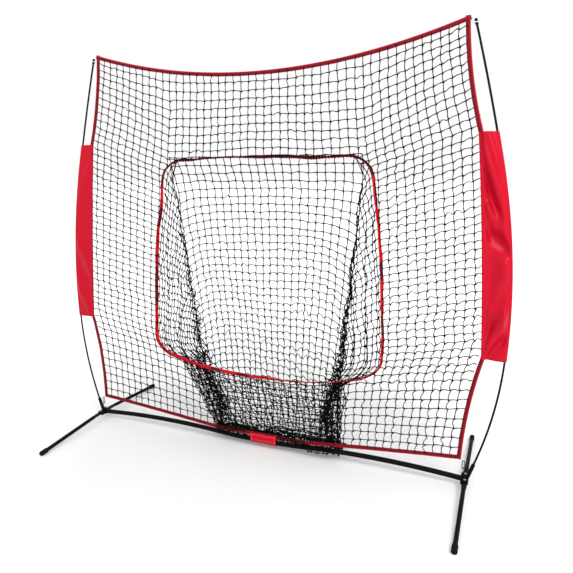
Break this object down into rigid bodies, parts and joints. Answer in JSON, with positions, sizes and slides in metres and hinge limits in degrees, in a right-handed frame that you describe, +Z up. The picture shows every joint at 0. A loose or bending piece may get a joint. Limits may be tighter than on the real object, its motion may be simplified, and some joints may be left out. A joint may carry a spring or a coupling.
{
  "type": "pitching target net",
  "caption": "Free-standing square practice net with an open-mouthed ball pocket, bowed side rods and a low steel base whose legs fold in along the crossbar.",
  "frame": {"origin": "on the floor, at the middle of the footprint, under the middle of the crossbar", "axes": "+X along the crossbar towards the right-hand hub, +Y away from the player, towards the pocket's side, +Z up"},
  "size_m": [2.4268, 1.0174, 2.106],
  "materials": {
    "black_tube": "satin",
    "zinc_steel": "satin",
    "spring_steel": "satin",
    "nylon": "matte",
    "black_rubber": "matte",
    "black_fibreglass": "satin",
    "black_netting": "matte",
    "dark_red_tape": "satin",
    "bright_red_tape": "satin",
    "red_cloth": "satin",
    "black_elastic": "matte",
    "white_elastic": "matte"
  },
  "bodies": {
    "frame": {"right_crossbar_tube": "black_tube", "left_crossbar_tube": "black_tube", "crossbar_joining_spigot": "zinc_steel", "crossbar_snap_spring": "spring_steel", "spigot_rivet": "zinc_steel", "leg_pivot_bolts": "zinc_steel", "leg_pivot_lock_nuts": "zinc_steel", "leg_pivot_washers": "nylon", "front_net": "black_netting", "top_binding": "dark_red_tape", "bottom_binding": "dark_red_tape", "mouth_binding": "bright_red_tape", "pocket_net": "black_netting", "centre_strap": "bright_red_tape", "right_hub_bracket": "black_tube", "right_rod_socket": "black_tube", "right_rod_lower_section": "black_fibreglass", "right_rod_middle_section": "black_fibreglass", "right_rod_upper_section": "black_fibreglass", "right_rod_lower_ferrule": "zinc_steel", "right_rod_upper_ferrule": "zinc_steel", "right_rod_tip_cap": "black_rubber", "right_side_binding": "dark_red_tape", "right_side_panel": "red_cloth", "right_pocket_gusset": "black_netting", "right_corner_hook": "black_tube", "right_corner_loop": "black_elastic", "right_tip_loop": "white_elastic", "left_hub_bracket": "black_tube", "left_rod_socket": "black_tube", "left_rod_lower_section": "black_fibreglass", "left_rod_middle_section": "black_fibreglass", "left_rod_upper_section": "black_fibreglass", "left_rod_lower_ferrule": "zinc_steel", "left_rod_upper_ferrule": "zinc_steel", "left_rod_tip_cap": "black_rubber", "left_side_binding": "dark_red_tape", "left_side_panel": "red_cloth", "left_pocket_gusset": "black_netting", "left_corner_hook": "black_tube", "left_corner_loop": "black_elastic", "left_tip_loop": "white_elastic"},
    "front_right_leg": {"front_right_leg": "black_tube", "front_right_foot": "black_rubber"},
    "front_left_leg": {"front_left_leg": "black_tube", "front_left_foot": "black_rubber"},
    "back_right_leg": {"back_right_leg": "black_tube", "back_right_foot": "black_rubber"},
    "back_left_leg": {"back_left_leg": "black_tube", "back_left_foot": "black_rubber"},
    "snap_button": {"crossbar_snap_button": "zinc_steel"}
  },
  "joints": [
    {"name": "front_right_leg_fold", "type": "hinge", "parent": "frame", "child": "front_right_leg", "pos_m": [1.065, -0.028, 0.041], "axis": [0, 0, -1], "range_deg": [0, 90]},
    {"name": "front_left_leg_fold", "type": "hinge", "parent": "frame", "child": "front_left_leg", "pos_m": [-1.065, -0.028, 0.041], "axis": [0, 0, 1], "range_deg": [0, 90]},
    {"name": "back_right_leg_fold", "type": "hinge", "parent": "frame", "child": "back_right_leg", "pos_m": [1.065, 0.028, 0.041], "axis": [0, 0, 1], "range_deg": [0, 90]},
    {"name": "back_left_leg_fold", "type": "hinge", "parent": "frame", "child": "back_left_leg", "pos_m": [-1.065, 0.028, 0.041], "axis": [0, 0, -1], "range_deg": [0, 90]},
    {"name": "snap_button_press", "type": "slide", "parent": "frame", "child": "snap_button", "axis": [0, 0, -1], "range_m": [0, 0.004], "stiffness_N_per_m": 600, "springref_m": -0.003, "deforming": ["crossbar_snap_spring"]}
  ]
}
